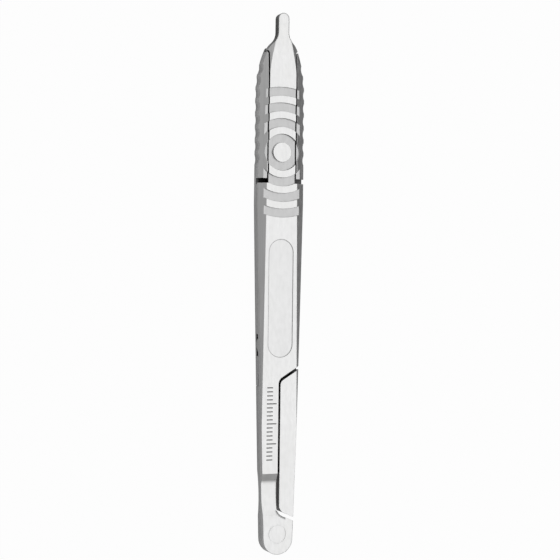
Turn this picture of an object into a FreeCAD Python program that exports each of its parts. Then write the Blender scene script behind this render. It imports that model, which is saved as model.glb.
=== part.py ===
import FreeCAD
import Part
import Sketcher
import math
import os

# Scalpel handle of stainless steel in two interlocked members and a magnet.
# It lies on its back: +Z is the front face, +Y is the nose, and the origin is under the handle's middle.
# The lever (nose, tongue, front plate, tail arm and thumb tab) rocks on a round lug in a notch of the frame.
# Pressing the thumb tab lifts the nose out of the frame's channel, which frees the blade.
# Both members are cut from one common block, so the outer faces, facets and grooves run on across the seams.

os.makedirs("parts", exist_ok=True)
doc = FreeCAD.newDocument("scalpel_handle")

SIZES = {
    # outer form, seen from the front
    "handle_length": 135.5,
    "handle_thickness": 3.8,
    "grip_width": 12.3,
    "nose_width": 2.85,
    "nose_length": 4.8,
    "flare_radius": 3.6,
    "flare_angle": 50.0,
    "cheek_radius": 28.8,
    "cheek_angle": 22.0,
    "grip_end_distance": 48.0,
    "side_radius": 12000.0,
    "tab_width": 7.8,
    # facets beside the front face, straight along the handle and curved in towards the nose
    "flat_width": 7.7,
    "tail_flat_width": 10.0,
    "facet_slope": 26.0,
    "shoulder_distance": 21.0,
    "shoulder_radius": 56.0,
    "back_chamfer": 0.3,
    # finger grip
    "disc_distance": 34.85,
    "disc_radius": 2.45,
    "groove_width": 2.15,
    "rib_width": 1.75,
    "groove_depth": 0.47,
    "groove_rise": 0.06,
    "groove_count": 4,
    "flute_distance": 13.74,
    "flute_pitch": 3.28,
    "flute_depth": 0.32,
    "flute_radius": 2.4,
    "flute_count": 8,
    # shallow oval panel on the front plate
    "panel_length": 29.5,
    "panel_width": 6.5,
    "panel_depth": 0.12,
    "panel_distance": 71.4,
    # fine ring on the thumb tab
    "tab_ring_distance": 130.35,
    "tab_ring_radius": 2.15,
    "tab_ring_width": 0.25,
    "tab_ring_depth": 0.08,
    # seams between the lever and the frame
    "split_height": 2.1,
    "seam_gap": 0.06,
    "tongue_width": 7.1,
    "tongue_gap": 0.33,
    "shoulder_gap": 0.15,
    "tongue_distance": 9.35,
    "tongue_corner": 0.9,
    "tongue_thickness": 2.2,
    "cheek_end_distance": 41.45,
    "cheek_gap": 1.15,
    "arm_offset": 0.25,
    "arm_gap": 0.48,
    "slant_distance": 91.75,
    "slant_angle": 32.0,
    "slant_gap": 0.7,
    "slant_corner": 2.0,
    "bar_corner": 1.5,
    "bar_end_distance": 124.55,
    "bar_end_angle": 23.6,
    "bar_end_gap": 0.93,
    "bar_end_corner": 2.0,
    "tab_corner": 2.3,
    "arm_start_distance": 93.45,
    "arm_start_gap": 0.1,
    "arm_lift": 0.1,
    # fulcrum
    "lug_distance": 83.15,
    "lug_depth": 0.95,
    "lug_radius": 2.0,
    "lug_gap": 0.05,
    "notch_length": 5.5,
    "press_angle": 1.25,
    # finger scoops of the tail arm
    "scoop_distance": 115.2,
    "scoop_length": 10.5,
    "scoop_depth": 1.0,
    "ramp_angle": 23.0,
    "ramp_radius": 3.0,
    "rise_length": 4.5,
    "rise_radius": 18.0,
    "back_scoop_distance": 120.3,
    "back_scoop_depth": 0.9,
    "back_scoop_radius": 24.0,
    # blade key under the nose, and the mouth in the frame that lets the blade's root in
    "key_length": 7.0,
    "key_width": 1.8,
    "key_height": 0.45,
    "key_margin": 2.1,
    "mouth_length": 8.0,
    "mouth_depth": 0.5,
    "lip_length": 0.75,
    # magnet
    "magnet_diameter": 5.0,
    "magnet_thickness": 0.9,
    "magnet_gap": 0.05,
}

sizes = doc.addObject("Spreadsheet::Sheet", "sizes")
for row, (alias, value) in enumerate(SIZES.items(), start=1):
    sizes.set(f"A{row}", alias)
    sizes.set(f"B{row}", str(value))
    sizes.setAlias(f"B{row}", alias)
doc.recompute()

# Places along the handle, as expressions of the sheet's cells.
TIP = "sizes.handle_length / 2"
TAIL = "-sizes.handle_length / 2"
TOP = "sizes.handle_thickness"
GRIP_HALF = "sizes.grip_width / 2"
NOSE_HALF = "sizes.nose_width / 2"
TAB_HALF = "sizes.tab_width / 2"
TONGUE_HALF = "sizes.tongue_width / 2"
CHANNEL_HALF = f"({TONGUE_HALF} + sizes.tongue_gap)"
ARM_SIDE = "(-sizes.arm_offset)"
BAR_SIDE = "(sizes.arm_gap - sizes.arm_offset)"
PLATE_BOTTOM = "sizes.split_height"
BASE_TOP = "(sizes.split_height - sizes.seam_gap)"
TONGUE_BOTTOM = f"({TOP} - sizes.tongue_thickness)"
CHANNEL_FLOOR = f"({TONGUE_BOTTOM} - sizes.seam_gap)"
DISC_Y = f"({TIP} - sizes.disc_distance)"
LUG_Y = f"({TIP} - sizes.lug_distance)"
TONGUE_SHOULDER = f"({TIP} - sizes.tongue_distance)"
CHEEK_FRONT = f"({TONGUE_SHOULDER} - sizes.shoulder_gap)"
CHEEK_END = f"({TIP} - sizes.cheek_end_distance)"
LEVER_SHOULDER = f"({CHEEK_END} - sizes.cheek_gap)"
ARM_START = f"({TIP} - sizes.arm_start_distance)"

# Every cutting or limiting solid reaches this far past the metal that it meets.
MARGIN = 2.0
REACH = f"({GRIP_HALF} + {MARGIN})"
ABOVE = f"({TOP} + {MARGIN})"


def number(expression):
    """The value of an expression of the sheet's cells."""
    value = sizes.evalExpression(expression)
    return float(getattr(value, "Value", value))


def arc_between(start, end, radius, side):
    """A short arc from start to end. side is the side of the travel that its centre is on."""
    chord = end - start
    middle = (start + end) / 2
    height = math.sqrt(max(radius**2 - (chord.Length / 2) ** 2, 0.0))
    to_left = FreeCAD.Vector(-chord.y, chord.x, 0).normalize()
    centre = middle + to_left * (height if side == "left" else -height)
    first, last = (start, end) if side == "left" else (end, start)
    circle = Part.Circle(centre, FreeCAD.Vector(0, 0, 1), radius)
    return Part.ArcOfCircle(circle, circle.parameter(first), circle.parameter(last))


def outline(name, corners, facing="top", level="0"):
    """A closed sketch through corners: (x, y) starts a line, (x, y, radius, side) starts an arc.

    x, y and radius are expressions that drive the sketch's constraints.
    """
    sketch = doc.addObject("Sketcher::SketchObject", name)
    if facing == "side":
        # the sketch's x runs along +Y and its y along +Z
        sketch.Placement.Rotation = FreeCAD.Rotation(FreeCAD.Vector(1, 1, 1), 120)
    elif facing == "end":
        # the sketch's x runs along +X and its y along +Z
        sketch.Placement.Rotation = FreeCAD.Rotation(FreeCAD.Vector(1, 0, 0), 90)
    else:
        sketch.setExpression("Placement.Base.z", level)
    points = [FreeCAD.Vector(number(corner[0]), number(corner[1]), 0) for corner in corners]
    starts = []
    ends = []
    for corner, start, end in zip(corners, points, points[1:] + points[:1]):
        if len(corner) == 2:
            index = sketch.addGeometry(Part.LineSegment(start, end))
            starts.append((index, 1))
            ends.append((index, 2))
            continue
        radius, side = corner[2:]
        index = sketch.addGeometry(arc_between(start, end, number(radius), side))
        starts.append((index, 1 if side == "left" else 2))
        ends.append((index, 2 if side == "left" else 1))
        rule = sketch.addConstraint(Sketcher.Constraint("Radius", index, number(radius)))
        sketch.setExpression(f"Constraints[{rule}]", radius)
    for end, start in zip(ends, starts[1:] + starts[:1]):
        sketch.addConstraint(Sketcher.Constraint("Coincident", *end, *start))
    for corner, point, start in zip(corners, points, starts):
        across = ("DistanceX", point.x, corner[0])
        along = ("DistanceY", point.y, corner[1])
        for kind, value, expression in (across, along):
            rule = sketch.addConstraint(Sketcher.Constraint(kind, -1, 1, *start, value))
            sketch.setExpression(f"Constraints[{rule}]", expression)
    return sketch


def prism(name, sketch, length, symmetric=False):
    """The sketch pushed along its own normal."""
    solid = doc.addObject("Part::Extrusion", name)
    solid.Base = sketch
    solid.DirMode = "Normal"
    solid.Solid = True
    solid.Symmetric = symmetric
    solid.setExpression("LengthFwd", length)
    return solid


def mirrored(name, source):
    """The source on the other side of the handle's middle plane."""
    copy = doc.addObject("Part::Mirroring", name)
    copy.Source = source
    copy.Normal = FreeCAD.Vector(1, 0, 0)
    return copy


def fuse(name, shapes):
    joined = doc.addObject("Part::MultiFuse", name)
    joined.Shapes = shapes
    joined.Refine = True
    return joined


def together(name, shapes):
    """Solids that don't touch, used as one tool."""
    group = doc.addObject("Part::Compound", name)
    group.Links = shapes
    return group


def cut(name, base, tool):
    left = doc.addObject("Part::Cut", name)
    left.Base = base
    left.Tool = tool
    left.Refine = True
    return left


def common(name, base, tool):
    shared = doc.addObject("Part::MultiCommon", name)
    shared.Shapes = [base, tool]
    shared.Refine = True
    return shared


def cylinder(name, radius, height, x="0", y="0", z="0"):
    """An upright cylinder whose foot's centre is at x, y, z."""
    solid = doc.addObject("Part::Cylinder", name)
    solid.setExpression("Radius", radius)
    solid.setExpression("Height", height)
    for axis, place in (("x", x), ("y", y), ("z", z)):
        solid.setExpression(f"Placement.Base.{axis}", place)
    return solid


def stadium(name, centre_y, length, width, level):
    """A sketch of an oval with straight sides, long way along the handle."""
    half = f"({width}) / 2"
    end = f"(({length}) / 2 - ({width}) / 2)"
    return outline(
        name,
        [
            (half, f"{centre_y} - {end}"),
            (half, f"{centre_y} + {end}", half, "left"),
            ("0", f"{centre_y} + {end} + {half}", half, "left"),
            (f"-{half}", f"{centre_y} + {end}"),
            (f"-{half}", f"{centre_y} - {end}", half, "left"),
            ("0", f"{centre_y} - {end} - {half}", half, "left"),
        ],
        level=level,
    )


# The common block: the outline from the front, drawn counter-clockwise from the tail's end.
# The nose flares out to the cheeks by a hollow arc and a full one. The sides bow slightly down to the tail.
TAIL_CENTRE = f"({TAIL} + {TAB_HALF})"
GRIP_END = f"({TIP} - sizes.grip_end_distance)"
NECK = f"({TIP} - sizes.nose_length)"
FLARE_X = f"({NOSE_HALF} + sizes.flare_radius * (1 - cos(sizes.flare_angle)))"
FLARE_Y = f"({NECK} - sizes.flare_radius * sin(sizes.flare_angle))"
CHEEK_X = f"({GRIP_HALF} - sizes.cheek_radius * (1 - cos(sizes.cheek_angle)))"
TURN_X = "(cos(sizes.cheek_angle) - cos(sizes.flare_angle))"
TURN_Y = "(sin(sizes.flare_angle) - sin(sizes.cheek_angle))"
SHOULDER_RADIUS = f"(({CHEEK_X} - {FLARE_X}) / {TURN_X})"
CHEEK_Y = f"({FLARE_Y} - {SHOULDER_RADIUS} * {TURN_Y})"
GRIP_START = f"({CHEEK_Y} - sizes.cheek_radius * sin(sizes.cheek_angle))"

plan = outline(
    "plan",
    [
        ("0", TAIL, TAB_HALF, "left"),
        (TAB_HALF, TAIL_CENTRE, "sizes.side_radius", "left"),
        (GRIP_HALF, GRIP_END),
        (GRIP_HALF, GRIP_START, "sizes.cheek_radius", "left"),
        (CHEEK_X, CHEEK_Y, SHOULDER_RADIUS, "left"),
        (FLARE_X, FLARE_Y, "sizes.flare_radius", "right"),
        (NOSE_HALF, NECK),
        (NOSE_HALF, f"{TIP} - {NOSE_HALF}", NOSE_HALF, "left"),
        ("0", TIP, NOSE_HALF, "left"),
        (f"-{NOSE_HALF}", f"{TIP} - {NOSE_HALF}"),
        (f"-{NOSE_HALF}", NECK, "sizes.flare_radius", "right"),
        (f"-{FLARE_X}", FLARE_Y, SHOULDER_RADIUS, "left"),
        (f"-{CHEEK_X}", CHEEK_Y, "sizes.cheek_radius", "left"),
        (f"-{GRIP_HALF}", GRIP_START),
        (f"-{GRIP_HALF}", GRIP_END, "sizes.side_radius", "left"),
        (f"-{TAB_HALF}", TAIL_CENTRE, TAB_HALF, "left"),
    ],
)
blank = prism("blank", plan, TOP)
doc.recompute()

# A small chamfer runs round the back face.
chamfered = doc.addObject("Part::Chamfer", "chamfered_blank")
chamfered.Base = blank
chamfered.Edges = [
    (index, sizes.back_chamfer, sizes.back_chamfer)
    for index, edge in enumerate(blank.Shape.Edges, start=1)
    if edge.BoundBox.ZMax < sizes.back_chamfer / 2
]

# Facets: a straight wedge along each side, which leans out a little towards the tail,
# and a cone's flank at the shoulder.
SHOULDER_Y = f"({TIP} - sizes.shoulder_distance)"

side_facet = doc.addObject("Part::Extrusion", "side_facet")
side_facet.Base = outline(
    "side_facet_section",
    [
        ("sizes.flat_width / 2", TOP),
        (f"sizes.flat_width / 2 + {REACH}", f"{TOP} - {REACH} * tan(sizes.facet_slope)"),
        (f"sizes.flat_width / 2 + {REACH}", ABOVE),
        ("sizes.flat_width / 2", ABOVE),
    ],
    facing="end",
)
side_facet.Base.setExpression("Placement.Base.y", SHOULDER_Y)
side_facet.DirMode = "Custom"
side_facet.setExpression("Dir.x", "(sizes.tail_flat_width - sizes.flat_width) / 2")
side_facet.setExpression("Dir.y", f"{TAIL} - {SHOULDER_Y}")
side_facet.setExpression("Dir.z", "0")
side_facet.Solid = True

shoulder_zone = prism(
    "shoulder_zone",
    outline(
        "shoulder_zone_plan",
        [("0", SHOULDER_Y), (REACH, SHOULDER_Y), (REACH, NECK), ("0", NECK)],
    ),
    ABOVE,
)
shoulder_cone = doc.addObject("Part::Cone", "shoulder_cone")
shoulder_cone.setExpression("Radius1", f"sizes.shoulder_radius + {TOP} / tan(sizes.facet_slope)")
shoulder_cone.setExpression("Radius2", f"sizes.shoulder_radius - {MARGIN} / tan(sizes.facet_slope)")
shoulder_cone.setExpression("Height", ABOVE)
shoulder_cone.setExpression("Placement.Base.x", "sizes.flat_width / 2 - sizes.shoulder_radius")
shoulder_cone.setExpression("Placement.Base.y", SHOULDER_Y)
shoulder_facet = cut("shoulder_facet", shoulder_zone, shoulder_cone)

# Finger flutes: upright hollows along the cheeks that follow the outline of the grip.
flutes = []
for step in range(int(sizes.flute_count)):
    flute_y = f"({TIP} - sizes.flute_distance - {step} * sizes.flute_pitch)"
    rise = f"max({flute_y} - {GRIP_START}; 0)"
    inset = f"sizes.cheek_radius - sqrt(sizes.cheek_radius * sizes.cheek_radius - {rise} * {rise})"
    flutes.append(
        cylinder(
            f"flute_{step}",
            "sizes.flute_radius",
            ABOVE,
            x=f"{GRIP_HALF} - ({inset}) - sizes.flute_depth + sizes.flute_radius",
            y=flute_y,
        )
    )

# Ring grooves round the raised disc of the grip, shallower ring by ring.
# Their flat floors run out in the facets.
grooves = []
for ring in range(int(sizes.groove_count)):
    inner = f"(sizes.disc_radius + {ring} * (sizes.groove_width + sizes.rib_width))"
    floor = f"{TOP} - sizes.groove_depth + {ring} * sizes.groove_rise"
    outer = f"{inner} + sizes.groove_width"
    outer_disc = cylinder(f"groove_{ring}_outer", outer, f"{MARGIN}", y=DISC_Y, z=floor)
    inner_disc = cylinder(f"groove_{ring}_inner", inner, f"{MARGIN}", y=DISC_Y, z=floor)
    grooves.append(cut(f"groove_{ring}", outer_disc, inner_disc))

panel = prism(
    "panel",
    stadium(
        "panel_plan",
        f"({TIP} - sizes.panel_distance)",
        "sizes.panel_length",
        "sizes.panel_width",
        f"{TOP} - sizes.panel_depth",
    ),
    f"{MARGIN}",
)

faceted = chamfered
for facet in (side_facet, shoulder_facet):
    faceted = cut(f"{facet.Name}_on_right", faceted, facet)
    faceted = cut(f"{facet.Name}_on_both", faceted, mirrored(f"{facet.Name}_left", facet))
both_flutes = flutes + [mirrored(f"{flute.Name}_left", flute) for flute in flutes]
fluted = cut("fluted", faceted, together("flute_set", both_flutes))
block = cut("block", fluted, together("grooves_and_panel", grooves + [panel]))

# The tail is split along its middle and across by two slants. Each slant rounds into the split.


def rounded_corner(x, y, radius, angle, rising):
    """Where the rounding meets the upright at x and the slant that leaves it from (x, y) at angle."""
    run = f"({radius} * tan((90 - {angle}) / 2))"
    turn = "1" if rising else "-1"
    on_upright = (x, f"{y} - {turn} * {run}")
    on_slant = (f"{x} + {run} * cos({angle})", f"{y} + {turn} * {run} * sin({angle})")
    return on_upright, on_slant


def slant_at_reach(x, y, angle, rising):
    """The slant's far end, clear of the metal."""
    turn = "1" if rising else "-1"
    return (REACH, f"{y} + {turn} * ({REACH} - {x}) * tan({angle})")


PLATE_SLANT_Y = f"({TIP} - sizes.slant_distance)"
BAR_SLANT_Y = (
    f"({PLATE_SLANT_Y} - sizes.slant_gap / cos(sizes.slant_angle)"
    " + sizes.arm_gap * tan(sizes.slant_angle))"
)
BAR_END_Y = f"({TIP} - sizes.bar_end_distance)"
TAB_Y = (
    f"({BAR_END_Y} + sizes.arm_gap * tan(sizes.bar_end_angle)"
    " - sizes.bar_end_gap / cos(sizes.bar_end_angle))"
)

# The lever's share of the block: front plate with tongue and nose, tail arm and tab, and the round lug.
SLANT = "sizes.slant_angle"
BAR_END = "sizes.bar_end_angle"
plate_upright, plate_slant = rounded_corner(ARM_SIDE, PLATE_SLANT_Y, "sizes.slant_corner", SLANT, True)
tab_upright, tab_slant = rounded_corner(ARM_SIDE, TAB_Y, "sizes.tab_corner", BAR_END, False)
tab_edge = [
    (*tab_upright, "sizes.tab_corner", "left"),
    tab_slant,
    slant_at_reach(ARM_SIDE, TAB_Y, BAR_END, False),
    (REACH, f"{TAIL} - {MARGIN}"),
    (f"-{REACH}", f"{TAIL} - {MARGIN}"),
]
CORNER = "sizes.tongue_corner"
tongue_edge = [
    (f"-{TONGUE_HALF}", LEVER_SHOULDER),
    (f"-{TONGUE_HALF}", f"{TONGUE_SHOULDER} - {CORNER}", CORNER, "left"),
    (f"-{TONGUE_HALF} - {CORNER}", TONGUE_SHOULDER),
    (f"-{REACH}", TONGUE_SHOULDER),
    (f"-{REACH}", f"{TIP} + {MARGIN}"),
    (REACH, f"{TIP} + {MARGIN}"),
    (REACH, TONGUE_SHOULDER),
    (f"{TONGUE_HALF} + {CORNER}", TONGUE_SHOULDER, CORNER, "left"),
    (TONGUE_HALF, f"{TONGUE_SHOULDER} - {CORNER}"),
    (TONGUE_HALF, LEVER_SHOULDER),
]
plate_plan = outline(
    "plate_plan",
    [
        (*plate_slant, "sizes.slant_corner", "left"),
        plate_upright,
        *tab_edge,
        (f"-{REACH}", LEVER_SHOULDER),
        *tongue_edge,
        (REACH, LEVER_SHOULDER),
        slant_at_reach(ARM_SIDE, PLATE_SLANT_Y, SLANT, True),
    ],
    level=PLATE_BOTTOM,
)
tongue_plan = outline("tongue_plan", tongue_edge, level=TONGUE_BOTTOM)
arm_plan = outline(
    "arm_plan",
    [(ARM_SIDE, ARM_START), *tab_edge, (f"-{REACH}", ARM_START)],
    level="sizes.arm_lift",
)
plate = prism("plate", plate_plan, f"{ABOVE} - {PLATE_BOTTOM}")
tongue = prism("tongue", tongue_plan, f"{ABOVE} - {TONGUE_BOTTOM}")
arm = prism("arm", arm_plan, f"{ABOVE} - sizes.arm_lift")

# The lug is a low round rib across the whole width, which the lever rolls on.
LUG_BOTTOM = f"({PLATE_BOTTOM} - sizes.lug_depth)"
LUG_HALF = "sqrt(2 * sizes.lug_radius * sizes.lug_depth - sizes.lug_depth * sizes.lug_depth)"
OVERLAP = 0.5
lug = prism(
    "lug",
    outline(
        "lug_section",
        [
            (f"{LUG_Y} - {LUG_HALF}", PLATE_BOTTOM, "sizes.lug_radius", "left"),
            (f"{LUG_Y} + {LUG_HALF}", PLATE_BOTTOM),
            (f"{LUG_Y} + {LUG_HALF}", f"{PLATE_BOTTOM} + {OVERLAP}"),
            (f"{LUG_Y} - {LUG_HALF}", f"{PLATE_BOTTOM} + {OVERLAP}"),
        ],
        facing="side",
    ),
    f"2 * {REACH}",
    symmetric=True,
)
lever_share = common("lever_share", block, fuse("lever_region", [plate, tongue, arm, lug]))

# Scoops for finger and thumb thin the arm in front of the tab.
# The front one has a steep ramp to push against, whose foot rounds into the floor.
SCOOP_Y = f"({TIP} - sizes.scoop_distance)"
SCOOP_FLOOR = f"({TOP} - sizes.scoop_depth)"
SCOOP_END = f"({SCOOP_Y} - sizes.scoop_length)"
RAMP_FOOT = f"({SCOOP_Y} - sizes.scoop_depth / tan(sizes.ramp_angle))"
FOOT_RUN = "(sizes.ramp_radius * tan(sizes.ramp_angle / 2))"
front_scoop = prism(
    "front_scoop",
    outline(
        "front_scoop_section",
        [
            (SCOOP_Y, TOP),
            (SCOOP_Y, ABOVE),
            (SCOOP_END, ABOVE),
            (SCOOP_END, TOP, "sizes.rise_radius", "left"),
            (f"{SCOOP_END} + sizes.rise_length", SCOOP_FLOOR),
            (f"{RAMP_FOOT} - {FOOT_RUN}", SCOOP_FLOOR, "sizes.ramp_radius", "left"),
            (
                f"{RAMP_FOOT} + {FOOT_RUN} * cos(sizes.ramp_angle)",
                f"{SCOOP_FLOOR} + {FOOT_RUN} * sin(sizes.ramp_angle)",
            ),
        ],
        facing="side",
    ),
    f"2 * {REACH}",
    symmetric=True,
)
back_scoop = doc.addObject("Part::Cylinder", "back_scoop")
back_scoop.Placement.Rotation = FreeCAD.Rotation(FreeCAD.Vector(0, 1, 0), 90)
back_scoop.setExpression("Radius", "sizes.back_scoop_radius")
back_scoop.setExpression("Height", f"2 * {REACH}")
back_scoop.setExpression("Placement.Base.x", f"-{REACH}")
back_scoop.setExpression("Placement.Base.y", f"{TIP} - sizes.back_scoop_distance")
back_scoop.setExpression(
    "Placement.Base.z",
    "sizes.arm_lift + sizes.back_scoop_depth - sizes.back_scoop_radius",
)

tab_ring_foot = f"{TOP} - sizes.tab_ring_depth"
tab_ring_y = f"{TIP} - sizes.tab_ring_distance"
tab_ring = cut(
    "tab_ring",
    cylinder(
        "tab_ring_outer",
        "sizes.tab_ring_radius + sizes.tab_ring_width",
        f"{MARGIN}",
        x=ARM_SIDE,
        y=tab_ring_y,
        z=tab_ring_foot,
    ),
    cylinder(
        "tab_ring_inner",
        "sizes.tab_ring_radius",
        f"{MARGIN}",
        x=ARM_SIDE,
        y=tab_ring_y,
        z=tab_ring_foot,
    ),
)
shaped_lever = cut("shaped_lever", lever_share, fuse("lever_tools", [front_scoop, back_scoop, tab_ring]))

# The blade's slot drops over this key on the hidden side of the nose.
key = prism(
    "key",
    stadium(
        "key_plan",
        f"({TIP} - sizes.key_margin - sizes.key_length / 2)",
        "sizes.key_length",
        "sizes.key_width",
        f"{TONGUE_BOTTOM} - sizes.key_height",
    ),
    f"sizes.key_height + {OVERLAP}",
)
release_lever = fuse("release_lever", [shaped_lever, key])

# The frame's share: base under the plate, a cheek on each side of the tongue, and the tail bar.
# In front of the cheeks the base ends in a low lip under the lever's shoulders.
bar_upright, bar_slant = rounded_corner(BAR_SIDE, BAR_SLANT_Y, "sizes.bar_corner", SLANT, True)
end_upright, end_slant = rounded_corner(BAR_SIDE, BAR_END_Y, "sizes.bar_end_corner", BAR_END, False)
bar_end_edge = [
    (*end_upright, "sizes.bar_end_corner", "left"),
    end_slant,
    slant_at_reach(BAR_SIDE, BAR_END_Y, BAR_END, False),
]
BASE_END = f"({ARM_START} + sizes.arm_start_gap)"
bar_plan = outline(
    "bar_plan",
    [
        (*bar_slant, "sizes.bar_corner", "left"),
        bar_upright,
        *bar_end_edge,
        slant_at_reach(BAR_SIDE, BAR_SLANT_Y, SLANT, True),
    ],
)
LIP_FRONT = f"({CHEEK_FRONT} + sizes.lip_length)"
base_plan = outline(
    "base_plan",
    [
        (BAR_SIDE, BASE_END),
        *bar_end_edge,
        (REACH, LIP_FRONT),
        (f"-{REACH}", LIP_FRONT),
        (f"-{REACH}", BASE_END),
    ],
)
cheek_plan = outline(
    "cheek_plan",
    [
        (CHANNEL_HALF, CHEEK_END),
        (REACH, CHEEK_END),
        (REACH, CHEEK_FRONT),
        (f"{CHANNEL_HALF} + {CORNER}", CHEEK_FRONT, CORNER, "left"),
        (CHANNEL_HALF, f"{CHEEK_FRONT} - {CORNER}"),
    ],
)
bar = prism("bar", bar_plan, ABOVE)
base = prism("base", base_plan, BASE_TOP)
cheek = prism("cheek", cheek_plan, ABOVE)

# What the base gives up, seen from the side: the mouth and channel under the tongue, the lug's notch,
# and a slope behind the notch that the plate comes down on at the end of the lever's travel.
NOTCH_HALF = "sizes.notch_length / 2"
NOTCH_FLOOR = f"({LUG_BOTTOM} - sizes.lug_gap)"
MOUTH_FLOOR = f"({CHANNEL_FLOOR} - sizes.mouth_depth)"
MOUTH_END = f"({CHEEK_FRONT} - sizes.mouth_length)"
CHANNEL_END = f"({LEVER_SHOULDER} - sizes.tongue_gap)"
base_relief = prism(
    "base_relief",
    outline(
        "base_relief_section",
        [
            (f"{CHEEK_FRONT} + {MARGIN}", MOUTH_FLOOR),
            (f"{CHEEK_FRONT} + {MARGIN}", ABOVE),
            (BASE_END, ABOVE),
            (BASE_END, f"{PLATE_BOTTOM} - ({LUG_Y} - {BASE_END}) * tan(sizes.press_angle)"),
            (f"{LUG_Y} - {NOTCH_HALF}", f"{PLATE_BOTTOM} - {NOTCH_HALF} * tan(sizes.press_angle)"),
            (f"{LUG_Y} - {NOTCH_HALF}", NOTCH_FLOOR),
            (f"{LUG_Y} + {NOTCH_HALF}", NOTCH_FLOOR),
            (f"{LUG_Y} + {NOTCH_HALF}", BASE_TOP),
            (CHANNEL_END, BASE_TOP),
            (CHANNEL_END, CHANNEL_FLOOR),
            (MOUTH_END, CHANNEL_FLOOR),
            (MOUTH_END, MOUTH_FLOOR),
        ],
        facing="side",
    ),
    f"2 * {REACH}",
    symmetric=True,
)
relieved_base = cut("relieved_base", base, base_relief)
frame_region = fuse("frame_region", [relieved_base, cheek, mirrored("cheek_left", cheek), bar])
frame_share = common("frame_share", block, frame_region)

# A disc magnet under the raised disc holds the tongue down and draws the lever shut.
MAGNET_FOOT = f"({CHANNEL_FLOOR} - sizes.magnet_gap - sizes.magnet_thickness)"
pocket = cylinder(
    "magnet_pocket",
    "sizes.magnet_diameter / 2 + sizes.magnet_gap",
    ABOVE,
    y=DISC_Y,
    z=MAGNET_FOOT,
)
handle_frame = cut("handle_frame", frame_share, pocket)
closing_magnet = cylinder(
    "closing_magnet",
    "sizes.magnet_diameter / 2",
    "sizes.magnet_thickness",
    y=DISC_Y,
    z=MAGNET_FOOT,
)

doc.recompute()

for feature in doc.Objects:
    faults = [state for state in feature.State if state in ("Invalid", "Error")]
    if faults:
        raise RuntimeError(f"{feature.Name} failed: {faults}")

for node in (handle_frame, release_lever, closing_magnet):
    node.Label = node.Name
    shape = node.Shape
    if shape.isNull() or not shape.isValid() or len(shape.Solids) != 1:
        raise RuntimeError(f"{node.Name} is not one valid solid")
    shape.exportStep(f"parts/{node.Label}.step")
    box = shape.BoundBox
    extent = f"{box.XLength:.2f} by {box.YLength:.2f} by {box.ZLength:.2f} mm"
    print(f"{node.Label}: {shape.Volume:.1f} mm3, {extent}")
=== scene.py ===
# %% [markdown]
# # A stainless scalpel handle, dressed and lit
# The handle is two steel members cut from one blank, so nearly all of its shape is solid geometry already.
# This notebook gives the metal its finishes, adds the etched scale, and sets up a plain product picture.
# The solids come in at real size, in metres, and stay exactly where they are.

# %% Load the handle
import math

import bpy
from mathutils import Matrix, Vector


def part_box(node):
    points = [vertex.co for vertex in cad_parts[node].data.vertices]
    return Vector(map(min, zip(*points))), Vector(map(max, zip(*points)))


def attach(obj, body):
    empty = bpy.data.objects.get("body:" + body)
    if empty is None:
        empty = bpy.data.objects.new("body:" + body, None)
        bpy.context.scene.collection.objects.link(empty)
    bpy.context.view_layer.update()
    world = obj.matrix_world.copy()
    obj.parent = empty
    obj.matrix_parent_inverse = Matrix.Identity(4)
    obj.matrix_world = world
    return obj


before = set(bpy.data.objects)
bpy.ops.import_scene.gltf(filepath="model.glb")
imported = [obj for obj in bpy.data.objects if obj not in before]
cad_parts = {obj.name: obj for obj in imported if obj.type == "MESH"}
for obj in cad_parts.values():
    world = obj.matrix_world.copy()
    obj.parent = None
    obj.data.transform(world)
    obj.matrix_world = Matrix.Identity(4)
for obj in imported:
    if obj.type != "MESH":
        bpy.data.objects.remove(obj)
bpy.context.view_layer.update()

MM = 0.001
for name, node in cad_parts.items():
    low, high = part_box(name)
    print(name, "box in mm:", [round(value / MM, 2) for value in (*low, *high)], "slots:", len(node.data.materials))

# %% [markdown]
# ## Where the photograph was taken from
# The camera looks down on the handle from 22 degrees to its left, so one long side wall shows and the other doesn't.
# Its distance sets how fast the nose and the tail shrink, and was found from the tilt of the far ends.
# The matrix is built from the viewing direction and a small roll, because that keeps each measured angle readable.

# %% Camera
VIEW_LEAN = math.radians(22.0)
VIEW_ROLL = math.radians(0.7)
VIEW_DISTANCE = 360 * MM
AIM = Vector((-0.25 * MM, 0.93 * MM, 3.8 * MM))
PICTURE_WIDTH = 140 * MM
SENSOR_WIDTH = 36

toward_camera = Vector((-math.sin(VIEW_LEAN), 0, math.cos(VIEW_LEAN)))
level_right = Vector((math.cos(VIEW_LEAN), 0, math.sin(VIEW_LEAN)))
level_up = Vector((0, 1, 0))
right = level_right * math.cos(VIEW_ROLL) + level_up * math.sin(VIEW_ROLL)
up = level_up * math.cos(VIEW_ROLL) - level_right * math.sin(VIEW_ROLL)

camera_data = bpy.data.cameras.new("product_camera")
camera_data.sensor_width = SENSOR_WIDTH
camera_data.lens = SENSOR_WIDTH * VIEW_DISTANCE / PICTURE_WIDTH
camera_data.clip_start = 10 * MM
camera = bpy.data.objects.new("product_camera", camera_data)
bpy.context.collection.objects.link(camera)
turn = Matrix((right, up, toward_camera)).transposed().to_4x4()
camera.matrix_world = Matrix.Translation(AIM + toward_camera * VIEW_DISTANCE) @ turn
bpy.context.scene.camera = camera
print("camera at", [round(value / MM, 1) for value in camera.location], "mm, lens", round(camera_data.lens, 1), "mm")

# %% [markdown]
# ## Effects for the metal
# Satin steel is never one even grey. Four effects make up its look, and each is a node group: a fine blasted grain,
# faint marks from handling and cleaning, lines from grinding, and edges that tumbling has rounded.
# A group gives only masks, heights and normals, and each material decides what they change. The grain is shared by
# all three metal materials and the handling marks by two, each with values of its own.
# Noise values crowd round a half, so a mask is taken from a wide or a tight span about it.

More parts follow.
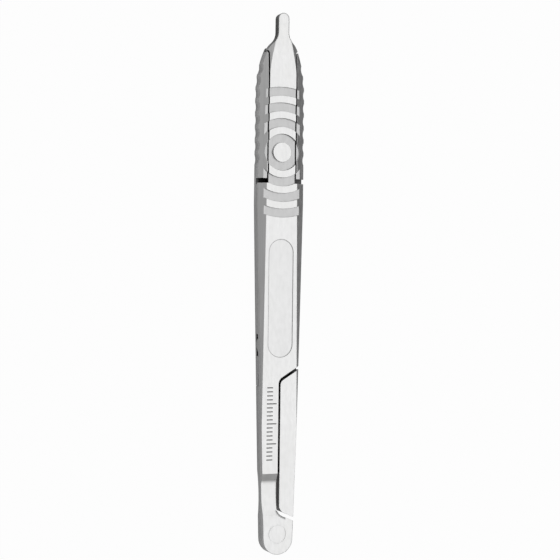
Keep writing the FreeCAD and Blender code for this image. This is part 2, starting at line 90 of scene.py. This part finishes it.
# %% Node helpers
WIDE_SPAN = (0.3, 0.7)
TIGHT_SPAN = (0.35, 0.65)


def node_group(name, inputs, outputs):
    """An empty shader group with a place and numbers as inputs, and outputs of the kinds asked for."""
    group = bpy.data.node_groups.new(name, "ShaderNodeTree")
    group.interface.new_socket("Place", in_out="INPUT", socket_type="NodeSocketVector")
    for socket_name, value in inputs.items():
        socket = group.interface.new_socket(socket_name, in_out="INPUT", socket_type="NodeSocketFloat")
        socket.default_value = value
    for socket_name, kind in outputs.items():
        group.interface.new_socket(socket_name, in_out="OUTPUT", socket_type=f"NodeSocket{kind}")
    return group, group.nodes.new("NodeGroupInput"), group.nodes.new("NodeGroupOutput")


def fill(tree, socket, value):
    """Sets an input to a constant, or links it when the value is another node's output."""
    if isinstance(value, bpy.types.NodeSocket):
        tree.links.new(value, socket)
    else:
        socket.default_value = value


def math_node(tree, operation, *values):
    """A Math node whose inputs are sockets or numbers. Returns its output."""
    node = tree.nodes.new("ShaderNodeMath")
    node.operation = operation
    for slot, value in enumerate(values):
        fill(tree, node.inputs[slot], value)
    return node.outputs[0]


def vector_node(tree, operation, first, second):
    """A Vector Math node on two vectors. Its number is the output Value, and its vector is Vector."""
    node = tree.nodes.new("ShaderNodeVectorMath")
    node.operation = operation
    fill(tree, node.inputs[0], first)
    fill(tree, node.inputs[1], second)
    return node.outputs


def remap(tree, value, low, high, to_low=0.0, to_high=1.0):
    """Value from low..high to to_low..to_high, clamped, with soft ends."""
    node = tree.nodes.new("ShaderNodeMapRange")
    node.interpolation_type = "SMOOTHSTEP"
    tree.links.new(value, node.inputs["Value"])
    for socket_name, number in (("From Min", low), ("From Max", high), ("To Min", to_low), ("To Max", to_high)):
        node.inputs[socket_name].default_value = number
    return node.outputs["Result"]


def stretched(tree, place, stretch):
    """A place whose part along the handle is scaled, so that what is drawn there runs along it."""
    factors = tree.nodes.new("ShaderNodeCombineXYZ")
    factors.inputs["X"].default_value = 1.0
    tree.links.new(stretch, factors.inputs["Y"])
    factors.inputs["Z"].default_value = 1.0
    return vector_node(tree, "MULTIPLY", place, factors.outputs[0])["Vector"]


def noise(tree, place, scale, **settings):
    """Noise at a place, from a scale per metre and any settings other than the usual ones."""
    node = tree.nodes.new("ShaderNodeTexNoise")
    tree.links.new(place, node.inputs["Vector"])
    tree.links.new(scale, node.inputs["Scale"])
    for socket_name, value in settings.items():
        node.inputs[socket_name].default_value = value
    return node.outputs[0]


print("node helpers ready")


# %% Blasted grain
def make_grain():
    """Fine grain with a slight lie along the handle, as glass-bead blasting leaves over a ground surface."""
    settings = {"Grains per mm": 5.0, "Lie": 0.35}
    group, given, made = node_group("blasted_grain", settings, {"Height": "Float", "Tone": "Float"})
    scale = math_node(group, "MULTIPLY", given.outputs["Grains per mm"], 1 / MM)
    place = stretched(group, given.outputs["Place"], given.outputs["Lie"])
    for output, detail, factor in (("Height", 3.0, 1.0), ("Tone", 2.0, 0.31)):
        size = math_node(group, "MULTIPLY", scale, factor)
        group.links.new(noise(group, place, size, Detail=detail, Roughness=0.6), made.inputs[output])
    return group


grain_group = make_grain()
print(grain_group.name, [item.name for item in grain_group.interface.items_tree])


# %% Handling marks
def make_marks():
    """Broad, faint cloudiness from wiping and sterilising, a few millimetres across."""
    group, given, made = node_group("handling_marks", {"Patch size mm": 9.0}, {"Cloud": "Float"})
    scale = math_node(group, "DIVIDE", 1 / MM, given.outputs["Patch size mm"])
    cloud = noise(group, given.outputs["Place"], scale, Detail=4.0, Distortion=0.6)
    group.links.new(remap(group, cloud, *TIGHT_SPAN), made.inputs["Cloud"])
    return group


marks_group = make_marks()
print(marks_group.name, [item.name for item in marks_group.interface.items_tree])


# %% Ground lines
def make_lines():
    """Fine lines that run along the handle, left by the belt that ground its sides before blasting."""
    settings = {"Lines per mm": 2.5, "Stretch": 0.03}
    group, given, made = node_group("ground_lines", settings, {"Line": "Float"})
    scale = math_node(group, "MULTIPLY", given.outputs["Lines per mm"], 1 / MM)
    place = stretched(group, given.outputs["Place"], given.outputs["Stretch"])
    line = remap(group, noise(group, place, scale, Detail=2.0), *WIDE_SPAN)
    group.links.new(line, made.inputs["Line"])
    return group


lines_group = make_lines()
print(lines_group.name, [item.name for item in lines_group.interface.items_tree])

# %% Rounded edges
BEVEL_SAMPLES = 6
TURN_SPAN = (0.99, 0.85)


def make_edges():
    """Normals that round the edges off by a radius, and a mask that is one close to an edge.

    The solids keep their sharp edges. Only the way the light meets them is rounded. The mask comes from how far
    the rounded normal turns away from the true one, as the cosine of the angle between them.
    """
    outputs = {"Normal": "Vector", "Edge": "Float"}
    group, given, made = node_group("rounded_edges", {"Radius mm": 0.1}, outputs)
    rounding = group.nodes.new("ShaderNodeBevel")
    rounding.samples = BEVEL_SAMPLES
    group.links.new(math_node(group, "MULTIPLY", given.outputs["Radius mm"], MM), rounding.inputs["Radius"])
    flat = group.nodes.new("ShaderNodeNewGeometry")
    turned = vector_node(group, "DOT_PRODUCT", rounding.outputs[0], flat.outputs["True Normal"])["Value"]
    group.links.new(rounding.outputs[0], made.inputs["Normal"])
    group.links.new(remap(group, turned, *TURN_SPAN), made.inputs["Edge"])
    return group


edges_group = make_edges()
print(edges_group.name, [item.name for item in edges_group.interface.items_tree])


# %% [markdown]
# ## The steel's finishes, and painted shade
# The whole handle is satin stainless steel, but it isn't the same all over. The floors of the grip grooves are
# greyer and a little rougher, and the oval panel has a fine etched rim. Shade is also painted into the colour:
# the walls of the nose are painted dark, the faces inside the seams are painted dark and made rougher, the slot
# behind the left cheek is painted black, and the nose's forward edges and the tab's upper edge are painted dark.
# Each is found from its place, its height and the way it faces.
# One material holds them all, because both members are of one steel, and its masks move with each member.


# %% Material helpers
def new_material(name):
    """A material with an empty node tree, its shader and its place on the object."""
    material = bpy.data.materials.new(name)
    material.use_nodes = True
    tree = material.node_tree
    tree.nodes.clear()
    shader = tree.nodes.new("ShaderNodeBsdfPrincipled")
    output = tree.nodes.new("ShaderNodeOutputMaterial")
    tree.links.new(shader.outputs[0], output.inputs["Surface"])
    place = tree.nodes.new("ShaderNodeTexCoord")
    return material, tree, shader, place


def use_group(tree, group, place, **values):
    """A copy of an effect in a material, with this material's own values."""
    node = tree.nodes.new("ShaderNodeGroup")
    node.node_tree = group
    tree.links.new(place.outputs["Object"], node.inputs["Place"])
    for socket_name, value in values.items():
        fill(tree, node.inputs[socket_name.replace("_", " ")], value)
    return node


def grey(level):
    return (level, level, level)


def mix_colour(tree, factor, first, second):
    """Colour that goes from first to second with factor."""
    node = tree.nodes.new("ShaderNodeMix")
    node.data_type = "RGBA"
    tree.links.new(factor, node.inputs["Factor"])
    for slot, colour in ((6, first), (7, second)):
        fill(tree, node.inputs[slot], (*colour, 1) if isinstance(colour, tuple) else colour)
    return node.outputs[2]


print("material helpers ready")


# %% Mask helpers
def shared(tree, first, *others):
    """What all of the masks have in common, which is their product."""
    common = first
    for mask in others:
        common = math_node(tree, "MULTIPLY", common, mask)
    return common


def between(tree, value, low, high):
    """One where a value lies between two limits, and zero elsewhere."""
    return shared(tree, math_node(tree, "GREATER_THAN", value, low), math_node(tree, "LESS_THAN", value, high))


def less(tree, mask, patch, share):
    """A mask that loses a share of its strength inside a patch."""
    return shared(tree, mask, math_node(tree, "MULTIPLY_ADD", patch, -share, 1.0))


def within(tree, place, centre, reach):
    """One closer to a point than a reach, and zero elsewhere."""
    distance = vector_node(tree, "DISTANCE", place.outputs["Object"], centre)["Value"]
    return math_node(tree, "LESS_THAN", distance, reach)


def split(tree, vector):
    """The three parts of a vector."""
    node = tree.nodes.new("ShaderNodeSeparateXYZ")
    tree.links.new(vector, node.inputs[0])
    return node.outputs


print("mask helpers ready")

# %% Grooves and panel
FACE_HEIGHT = 3.8 * MM
SEAM_HEIGHT = 2.07 * MM
GROOVE_DEPTH = 0.2 * MM
GRIP_CENTRE = Vector((0, 32.9 * MM, FACE_HEIGHT))
GRIP_REACH = 17.5 * MM
PANEL_CENTRE = -3.65 * MM
PANEL_HALF_WIDTH = 3.25 * MM
PANEL_HALF_LENGTH = 14.75 * MM
PANEL_HEIGHTS = (3.5 * MM, 4.0 * MM)
RIM_WIDTH = 0.2 * MM


def groove_mask(tree, place, height, upward):
    """The flat floors of the ring grooves."""
    cut_depth = between(tree, height, SEAM_HEIGHT, FACE_HEIGHT - GROOVE_DEPTH)
    return shared(tree, cut_depth, upward, within(tree, place, GRIP_CENTRE, GRIP_REACH))


def panel_masks(tree, across, along, height, upward):
    """The oval panel and its rim, from the distance to the middle line of a shape with straight sides."""
    from_centre = math_node(tree, "ABSOLUTE", math_node(tree, "SUBTRACT", along, PANEL_CENTRE))
    past_straight = math_node(tree, "SUBTRACT", from_centre, PANEL_HALF_LENGTH - PANEL_HALF_WIDTH)
    past_straight = math_node(tree, "MAXIMUM", past_straight, 0.0)
    squares = math_node(tree, "MULTIPLY", past_straight, past_straight)
    distance = math_node(tree, "SQRT", math_node(tree, "MULTIPLY_ADD", across, across, squares))
    on_face = shared(tree, upward, between(tree, height, *PANEL_HEIGHTS))
    inside = shared(tree, on_face, math_node(tree, "LESS_THAN", distance, PANEL_HALF_WIDTH))
    off_rim = math_node(tree, "ABSOLUTE", math_node(tree, "SUBTRACT", distance, PANEL_HALF_WIDTH))
    return inside, shared(tree, on_face, remap(tree, off_rim, RIM_WIDTH, 0.0))


print("grip centre at", tuple(round(value / MM, 1) for value in GRIP_CENTRE), "mm")

# %% Seams and slot, painted shade
SEAM_SIDES = (-3.95 * MM, 3.95 * MM)
SEAM_ENDS = (-59.6 * MM, 58.3 * MM)
SCOOP_SEAM = (-57.6 * MM, -47.2 * MM)
DISC_REACH = 3.0 * MM
# shares of the painted seam shade taken off round the disc and on the right cheek's inner face
DISC_WALL_LESS_SHADE = 0.75
CHEEK_SIDES = (3.7 * MM, 3.95 * MM)
CHEEK_ENDS = (26.4 * MM, 58.2 * MM)
CHEEK_LESS_SHADE = 0.8
SLOT_SIDES = (-5.5 * MM, 0.0)
SLOT_ENDS = (25.1 * MM, 26.35 * MM)
SLOT_TOP = 3.3 * MM


def seam_and_slot_shade(tree, place, across, along, height, steep, upward):
    """Painted shade: the faces inside the seams are painted dark, and the slot behind the left cheek is painted
    black.

    The right cheek's inner face and the walls round the disc get less of this painted shade, and the walls by the
    scoop get none.
    """
    floor = shared(tree, upward, math_node(tree, "LESS_THAN", height, SEAM_HEIGHT))
    wall = shared(tree, steep, between(tree, across, *SEAM_SIDES), between(tree, along, *SEAM_ENDS))
    right_cheek = shared(tree, between(tree, across, *CHEEK_SIDES), between(tree, along, *CHEEK_ENDS))
    wall = less(tree, wall, between(tree, along, *SCOOP_SEAM), 1.0)
    wall = less(tree, wall, within(tree, place, GRIP_CENTRE, DISC_REACH), DISC_WALL_LESS_SHADE)
    wall = less(tree, wall, right_cheek, CHEEK_LESS_SHADE)
    below_top = math_node(tree, "LESS_THAN", height, SLOT_TOP)
    slot = shared(tree, between(tree, along, *SLOT_ENDS), between(tree, across, *SLOT_SIDES), below_top)
    return math_node(tree, "MAXIMUM", floor, wall), slot


print("seams run from", [round(value / MM, 1) for value in SEAM_ENDS], "mm along the handle")

# %% Edges of the nose and the tab
NOSE_START = 57.0 * MM
NOSE_NECK = 62.5 * MM
TAB_START = -58.0 * MM
TAB_RING_CENTRE = Vector((-0.25 * MM, -62.6 * MM, FACE_HEIGHT))
TAB_RING_REACH = 2.6 * MM
TAB_EDGE_POINT = Vector((-0.25 * MM, -57.6 * MM, 0))
TAB_EDGE_OUTWARD = Vector((0.4, 0.916, 0))
TAB_EDGE_BAND = (-0.8 * MM, 0.7 * MM)
TAB_EDGE_SIDES = (-0.7 * MM, 2.0 * MM)
EDGE_RADIUS_MM = 0.12
NOSE_RADIUS_MM = 0.4
TAB_RADIUS_MM = 0.25
TAB_EDGE_RADIUS_MM = 1.3
RING_SHARPER = 0.9
RADIUS_BLEND = 3.0 * MM
EDGE_SHADE_BLEND = 1.5 * MM
FORWARD_SPAN = (0.05, 0.45)
EDGE_SHADE_SPAN = (0.0, 0.4)


def tab_edge_mask(tree, place, across):
    """A band on both sides of the tab's upper edge, which is cut on a slant."""
    from_edge = vector_node(tree, "SUBTRACT", place.outputs["Object"], TAB_EDGE_POINT)["Vector"]
    distance = vector_node(tree, "DOT_PRODUCT", from_edge, TAB_EDGE_OUTWARD)["Value"]
    return shared(tree, between(tree, distance, *TAB_EDGE_BAND), between(tree, across, *TAB_EDGE_SIDES))


def edge_radius(tree, place, along, tab_edge):
    """How far the edges are rounded, in mm: more at the nose and round the tab, least at the tab's fine ring."""
    nose = remap(tree, along, NOSE_START, NOSE_START + RADIUS_BLEND, EDGE_RADIUS_MM, NOSE_RADIUS_MM)
    tab = remap(tree, along, TAB_START, TAB_START - RADIUS_BLEND, EDGE_RADIUS_MM, TAB_RADIUS_MM)
    radius = math_node(tree, "MAXIMUM", nose, tab)
    radius = math_node(tree, "MAXIMUM", radius, math_node(tree, "MULTIPLY", tab_edge, TAB_EDGE_RADIUS_MM))
    return less(tree, radius, within(tree, place, TAB_RING_CENTRE, TAB_RING_REACH), RING_SHARPER)


def painted_edge_shade(tree, along, edges, tab_edge):
    """Edges painted dark as shade: the tab's upper edge, and those of the nose that face forwards."""
    forwards = remap(tree, split(tree, edges.outputs["Normal"])["Y"], *FORWARD_SPAN)
    nose = shared(tree, forwards, remap(tree, along, NOSE_START, NOSE_START + EDGE_SHADE_BLEND))
    where = math_node(tree, "MAXIMUM", nose, tab_edge)
    return shared(tree, where, remap(tree, edges.outputs["Edge"], *EDGE_SHADE_SPAN))


print("edge radius", EDGE_RADIUS_MM, "mm, at the nose", NOSE_RADIUS_MM, "mm")

# %% Satin steel
STEEL_TONES = ((0.795, 0.795, 0.79), grey(0.825))
FINISH_AND_SHADE_GREYS = {
    "lines": 0.7,
    "panel": 0.775,
    "rim": 0.55,
    "groove": 0.6,
    # from here on the greys are painted shade: seam faces, nose walls, edges and the black slot
    "seam": 0.1,
    "nose": 0.16,
    "painted edge shade": 0.12,
    "slot": 0.015,
}
ROUGHNESS_RANGE = (0.3, 0.36)
ROUGHNESS_ADDED = {"cloud": 0.02, "groove": 0.05, "seam": 0.2, "edge": -0.08}
FACES_UP = 0.98
FACES_SIDEWAYS = 0.8
LINES_ON_FACE = 0.2
STEEP_TILTS = (-0.3, 0.3)
GRAIN_STRENGTH = 0.12
GRAIN_HEIGHT = 0.01 * MM


def finish_and_shade_masks(tree, place):
    """A mask for each finish and for each painted shade, by name, and the effect that rounds the edges."""
    across, along, height = split(tree, place.outputs["Object"])
    tilt = split(tree, place.outputs["Normal"])["Z"]
    upward = math_node(tree, "GREATER_THAN", tilt, FACES_UP)
    steep = between(tree, tilt, *STEEP_TILTS)
    tab_edge = tab_edge_mask(tree, place, across)
    edges = use_group(tree, edges_group, place, Radius_mm=edge_radius(tree, place, along, tab_edge))
    marks = use_group(tree, marks_group, place, Patch_size_mm=9.0)
    lines = use_group(tree, lines_group, place, Lines_per_mm=2.5, Stretch=0.03)
    sideways = remap(tree, tilt, FACES_UP, FACES_SIDEWAYS, LINES_ON_FACE, 1.0)
    panel, rim = panel_masks(tree, across, along, height, upward)
    seam, slot = seam_and_slot_shade(tree, place, across, along, height, steep, upward)
    masks = {
        "cloud": marks.outputs["Cloud"],
        "lines": shared(tree, lines.outputs["Line"], sideways),
        "panel": panel,
        "rim": rim,
        "groove": groove_mask(tree, place, height, upward),
        "seam": seam,
        # the nose's steep walls, painted dark as shade
        "nose": shared(tree, steep, remap(tree, along, NOSE_START, NOSE_NECK)),
        "edge": edges.outputs["Edge"],
        # edges of the tab and nose, painted dark as shade
        "painted edge shade": painted_edge_shade(tree, along, edges, tab_edge),
        "slot": slot,
    }
    return masks, edges


def make_satin_steel():
    """Blasted stainless steel with greyer groove floors, and painted shade: dark seam faces, a black slot, dark nose
    walls and edges.
    """
    material, tree, shader, place = new_material("satin_steel")
    shader.inputs["Metallic"].default_value = 1.0
    grain = use_group(tree, grain_group, place, Grains_per_mm=5.0, Lie=0.35)
    masks, edges = finish_and_shade_masks(tree, place)

    colour = mix_colour(tree, masks["cloud"], *STEEL_TONES)
    # greys of the finishes, and of the painted shade in the seams, slot, nose walls and edges
    for mask_name, level in FINISH_AND_SHADE_GREYS.items():
        colour = mix_colour(tree, masks[mask_name], colour, grey(level))
    tree.links.new(colour, shader.inputs["Base Color"])

    rough = remap(tree, grain.outputs["Tone"], *WIDE_SPAN, *ROUGHNESS_RANGE)
    for mask_name, added in ROUGHNESS_ADDED.items():
        rough = math_node(tree, "MULTIPLY_ADD", masks[mask_name], added, rough)
    tree.links.new(rough, shader.inputs["Roughness"])

    bump = tree.nodes.new("ShaderNodeBump")
    bump.inputs["Strength"].default_value = GRAIN_STRENGTH
    bump.inputs["Distance"].default_value = GRAIN_HEIGHT
    tree.links.new(grain.outputs["Height"], bump.inputs["Height"])
    tree.links.new(edges.outputs["Normal"], bump.inputs["Normal"])
    tree.links.new(bump.outputs[0], shader.inputs["Normal"])
    return material


satin_steel = make_satin_steel()
print(satin_steel.name, "nodes:", len(satin_steel.node_tree.nodes))

# %% Magnet plating
PLATE_TONES = ((0.74, 0.73, 0.69), (0.68, 0.66, 0.61))
PLATE_ROUGHNESS = (0.12, 0.2)


def make_plating():
    """Bright nickel plate on the hidden magnet, slightly dulled by handling."""
    material, tree, shader, place = new_material("nickel_plate")
    shader.inputs["Metallic"].default_value = 1.0
    grain = use_group(tree, grain_group, place, Grains_per_mm=8.0, Lie=1.0)
    marks = use_group(tree, marks_group, place, Patch_size_mm=2.5)
    tree.links.new(mix_colour(tree, marks.outputs["Cloud"], *PLATE_TONES), shader.inputs["Base Color"])
    rough = remap(tree, grain.outputs["Tone"], *WIDE_SPAN, *PLATE_ROUGHNESS)
    tree.links.new(rough, shader.inputs["Roughness"])
    return material


nickel_plate = make_plating()
FINISHES = {"handle_frame": satin_steel, "release_lever": satin_steel, "closing_magnet": nickel_plate}
for name, material in FINISHES.items():
    for slot in range(len(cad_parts[name].data.materials)):
        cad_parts[name].data.materials[slot] = material
    print(name, "is", material.name)

# %% [markdown]
# ## The etched scale
# The tail arm carries a short scale in millimetres, with a longer mark at every fifth. Each mark is the same thin
# plate, so Geometry Nodes sets one out along a row of points and only its length is worked out for each.
# The marks are one mesh, which rides on the lever, and they stand a few thousandths of a millimetre proud.

# %% Mark material
ETCH_TONES = (grey(0.05), grey(0.12))
ETCH_METALLIC = 0.6
ETCH_ROUGHNESS = (0.45, 0.6)


def make_etch():
    """Dark etched mark, a little uneven where the etch took less."""
    material, tree, shader, place = new_material("dark_etch")
    shader.inputs["Metallic"].default_value = ETCH_METALLIC
    grain = use_group(tree, grain_group, place, Grains_per_mm=7.0, Lie=1.0)
    uneven = remap(tree, grain.outputs["Tone"], *TIGHT_SPAN)
    tree.links.new(mix_colour(tree, uneven, *ETCH_TONES), shader.inputs["Base Color"])
    rough = remap(tree, grain.outputs["Height"], *WIDE_SPAN, *ETCH_ROUGHNESS)
    tree.links.new(rough, shader.inputs["Roughness"])
    return material


dark_etch = make_etch()
print(dark_etch.name, "nodes:", len(dark_etch.node_tree.nodes))

# %% Scale generator
SCALE_START = Vector((-3.35 * MM, -44.0 * MM, FACE_HEIGHT))
SCALE_MARKS = 19
MARK_PITCH = 1.0 * MM
MARK_WIDTH = 0.26 * MM
MARK_LENGTH = 1.6 * MM
LONG_MARK = 2.6 * MM
LONG_EVERY = 5
MARK_THICKNESS = 0.02 * MM
MARK_PROUD = 0.006 * MM


def make_scale_tree():
    """Marks across the arm at an even pitch, each fifth one longer, all starting on one line."""
    tree = bpy.data.node_groups.new("scale_marks", "GeometryNodeTree")
    tree.interface.new_socket("Geometry", in_out="OUTPUT", socket_type="NodeSocketGeometry")
    for socket_name, kind in (("Marks", "Int"), ("Pitch", "Float"), ("Short", "Float"), ("Long", "Float")):
        tree.interface.new_socket(socket_name, in_out="INPUT", socket_type=f"NodeSocket{kind}")
    tree.interface.new_socket("Material", in_out="INPUT", socket_type="NodeSocketMaterial")
    given = tree.nodes.new("NodeGroupInput")
    made = tree.nodes.new("NodeGroupOutput")

    pitch = tree.nodes.new("ShaderNodeCombineXYZ")
    tree.links.new(given.outputs["Pitch"], pitch.inputs["Y"])
    row = tree.nodes.new("GeometryNodeMeshLine")
    row.inputs["Start Location"].default_value = SCALE_START
    tree.links.new(given.outputs["Marks"], row.inputs["Count"])
    tree.links.new(pitch.outputs[0], row.inputs["Offset"])

    index = tree.nodes.new("GeometryNodeInputIndex")
    place_in_five = math_node(tree, "MODULO", index.outputs[0], float(LONG_EVERY))
    is_long = math_node(tree, "COMPARE", place_in_five, LONG_EVERY - 1.0)
    length = tree.nodes.new("ShaderNodeMix")
    tree.links.new(is_long, length.inputs["Factor"])
    tree.links.new(given.outputs["Short"], length.inputs[2])
    tree.links.new(given.outputs["Long"], length.inputs[3])
    size = tree.nodes.new("ShaderNodeCombineXYZ")
    tree.links.new(length.outputs[0], size.inputs["X"])
    size.inputs["Y"].default_value = MARK_WIDTH
    size.inputs["Z"].default_value = MARK_THICKNESS

    plate = tree.nodes.new("GeometryNodeMeshCube")
    plate.inputs["Size"].default_value = (1, 1, 1)
    from_end = tree.nodes.new("GeometryNodeTransform")
    from_end.inputs["Translation"].default_value = (0.5, 0, MARK_PROUD / MARK_THICKNESS - 0.5)
    tree.links.new(plate.outputs["Mesh"], from_end.inputs["Geometry"])
    marks = tree.nodes.new("GeometryNodeInstanceOnPoints")
    tree.links.new(row.outputs["Mesh"], marks.inputs["Points"])
    tree.links.new(from_end.outputs[0], marks.inputs["Instance"])
    tree.links.new(size.outputs[0], marks.inputs["Scale"])
    real = tree.nodes.new("GeometryNodeRealizeInstances")
    tree.links.new(marks.outputs[0], real.inputs["Geometry"])
    dressed = tree.nodes.new("GeometryNodeSetMaterial")
    tree.links.new(real.outputs[0], dressed.inputs["Geometry"])
    tree.links.new(given.outputs["Material"], dressed.inputs["Material"])
    tree.links.new(dressed.outputs[0], made.inputs["Geometry"])
    return tree


scale_tree = make_scale_tree()
print(scale_tree.name, "nodes:", len(scale_tree.nodes))


# %% Etch the scale
def grown_mesh(name, tree, **settings):
    """An object with the plain mesh that a geometry tree makes with these settings."""
    grown = bpy.data.objects.new(name, bpy.data.meshes.new(f"{name}_seed"))
    bpy.context.collection.objects.link(grown)
    modifier = grown.modifiers.new(name, "NODES")
    modifier.node_group = tree
    sockets = {item.name: item.identifier for item in tree.interface.items_tree if item.in_out == "INPUT"}
    for socket_name, value in settings.items():
        modifier[sockets[socket_name]] = value
    graph = bpy.context.evaluated_depsgraph_get()
    mesh = bpy.data.meshes.new_from_object(grown.evaluated_get(graph))
    grown.modifiers.remove(modifier)
    grown.data = mesh
    mesh.name = name
    if mesh.materials[0] is None:
        mesh.materials.pop(index=0)
    return grown


scale_marks = grown_mesh(
    "arm_scale",
    scale_tree,
    Marks=SCALE_MARKS,
    Pitch=MARK_PITCH,
    Short=MARK_LENGTH,
    Long=LONG_MARK,
    Material=dark_etch,
)
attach(scale_marks, "lever")
print(scale_marks.name, "faces:", len(scale_marks.data.polygons), "materials:", list(scale_marks.data.materials))

# %% [markdown]
# ## Floor and light
# A product picture of metal is mostly a picture of its surroundings. One long soft panel hangs to the right,
# in line with the handle, where the front face mirrors it towards the camera. The side facets mirror dimmer parts
# of the room and the walls mirror the floor, so each keeps a grey of its own. The room isn't even: where it is
# brighter ahead or behind, a long facet changes tone a little from the nose to the tail.
# The floor is plain white, and only a trace of the handle's shadow shows on it.

# %% Floor
FLOOR_SIZE = 3.0
FLOOR_DROP = 0.02 * MM
PAPER_GREY = 0.75
SEEN_LIFT = 0.97
MIRRORED_LIFT = 0.06


def make_floor_material():
    """White paper. What the camera sees of it is lifted to white, and what the metal mirrors is lifted a little."""
    material = bpy.data.materials.new("white_paper")
    material.use_nodes = True
    tree = material.node_tree
    tree.nodes.clear()
    paper = tree.nodes.new("ShaderNodeBsdfDiffuse")
    paper.inputs["Color"].default_value = (*grey(PAPER_GREY), 1)
    glow = tree.nodes.new("ShaderNodeEmission")
    glow.inputs["Color"].default_value = (1, 1, 1, 1)
    glow.inputs["Strength"].default_value = 1.0
    ray = tree.nodes.new("ShaderNodeLightPath")
    seen = math_node(tree, "MAXIMUM", ray.outputs["Is Camera Ray"], ray.outputs["Is Transmission Ray"])
    seen = math_node(tree, "MULTIPLY", seen, SEEN_LIFT)
    mirrored = math_node(tree, "MULTIPLY", ray.outputs["Is Glossy Ray"], MIRRORED_LIFT)
    blend = tree.nodes.new("ShaderNodeMixShader")
    tree.links.new(math_node(tree, "MAXIMUM", seen, mirrored), blend.inputs["Fac"])
    tree.links.new(paper.outputs[0], blend.inputs[1])
    tree.links.new(glow.outputs[0], blend.inputs[2])
    output = tree.nodes.new("ShaderNodeOutputMaterial")
    tree.links.new(blend.outputs[0], output.inputs["Surface"])
    return material


floor_mesh = bpy.data.meshes.new("floor")
half = FLOOR_SIZE / 2
corners = [(-half, -half, 0), (half, -half, 0), (half, half, 0), (-half, half, 0)]
floor_mesh.from_pydata(corners, [], [(0, 1, 2, 3)])
floor_mesh.materials.append(make_floor_material())
floor = bpy.data.objects.new("floor", floor_mesh)
bpy.context.collection.objects.link(floor)
floor.location.z = -FLOOR_DROP
print("floor", FLOOR_SIZE, "m square")

# %% Key light
KEY_LEAN = math.radians(23.0)
KEY_FORWARD = 0.12
KEY_DISTANCE = 0.8
KEY_ACROSS = 0.75
KEY_ALONG = 1.7
KEY_WATTS = 3.0


def soft_panel(name, toward, distance, across, along, watts):
    """A rectangular soft panel that faces the handle from a direction, with its length along the handle."""
    data = bpy.data.lights.new(name, "AREA")
    data.shape = "RECTANGLE"
    data.size = across
    data.size_y = along
    data.energy = watts
    panel = bpy.data.objects.new(name, data)
    bpy.context.collection.objects.link(panel)
    back = Vector(toward).normalized()
    across_axis = Vector((0, 1, 0)).cross(back).normalized()
    along_axis = back.cross(across_axis)
    facing = Matrix((across_axis, along_axis, back)).transposed().to_4x4()
    panel.matrix_world = Matrix.Translation(back * distance) @ facing
    return panel


key_direction = (math.sin(KEY_LEAN), KEY_FORWARD, math.cos(KEY_LEAN))
key = soft_panel("key_panel", key_direction, KEY_DISTANCE, KEY_ACROSS, KEY_ALONG, KEY_WATTS)
print("key panel at", [round(value, 2) for value in key.location], "m")

# %% Room
HORIZON_LEVEL = 0.1
OVERHEAD_LEVEL = 0.39
OVERHEAD_SPAN = (0.2, 0.95)
LEFT_SPAN = (-0.5, -0.1)
RIGHT_SPAN = (0.6, 0.9)
RIGHT_SHARE = -0.5
AHEAD_SPAN = (-0.12, 0.18)
AHEAD_CHANGE = 0.36
BEHIND_SPAN = (-0.55, -0.85)
BEHIND_LEVEL = 0.09


def make_room():
    """A plain room, dim at the horizon and brighter overhead.

    The left is also brighter ahead, the right a little brighter behind, and there is some light low behind.
    Each span is in parts of the direction looked in, whose length is one.
    """
    world = bpy.data.worlds.new("grey_room")
    world.use_nodes = True
    tree = world.node_tree
    direction = tree.nodes.new("ShaderNodeTexCoord")
    to_right, forwards, upwards = split(tree, direction.outputs["Generated"])
    level = remap(tree, upwards, *OVERHEAD_SPAN, HORIZON_LEVEL, OVERHEAD_LEVEL)
    left = remap(tree, to_right, *LEFT_SPAN, 1.0, 0.0)
    side = math_node(tree, "ADD", left, remap(tree, to_right, *RIGHT_SPAN, 0.0, RIGHT_SHARE))
    ahead = remap(tree, forwards, *AHEAD_SPAN, -AHEAD_CHANGE, AHEAD_CHANGE)
    level = math_node(tree, "MULTIPLY", level, math_node(tree, "MULTIPLY_ADD", side, ahead, 1.0))
    level = math_node(tree, "ADD", level, remap(tree, forwards, *BEHIND_SPAN, 0.0, BEHIND_LEVEL))
    tree.links.new(level, tree.nodes["Background"].inputs["Strength"])
    tree.nodes["Background"].inputs["Color"].default_value = (1, 1, 1, 1)
    return world


bpy.context.scene.world = make_room()
bpy.context.scene.view_settings.view_transform = "Standard"
print("room from", HORIZON_LEVEL, "at the horizon to", OVERHEAD_LEVEL, "overhead")
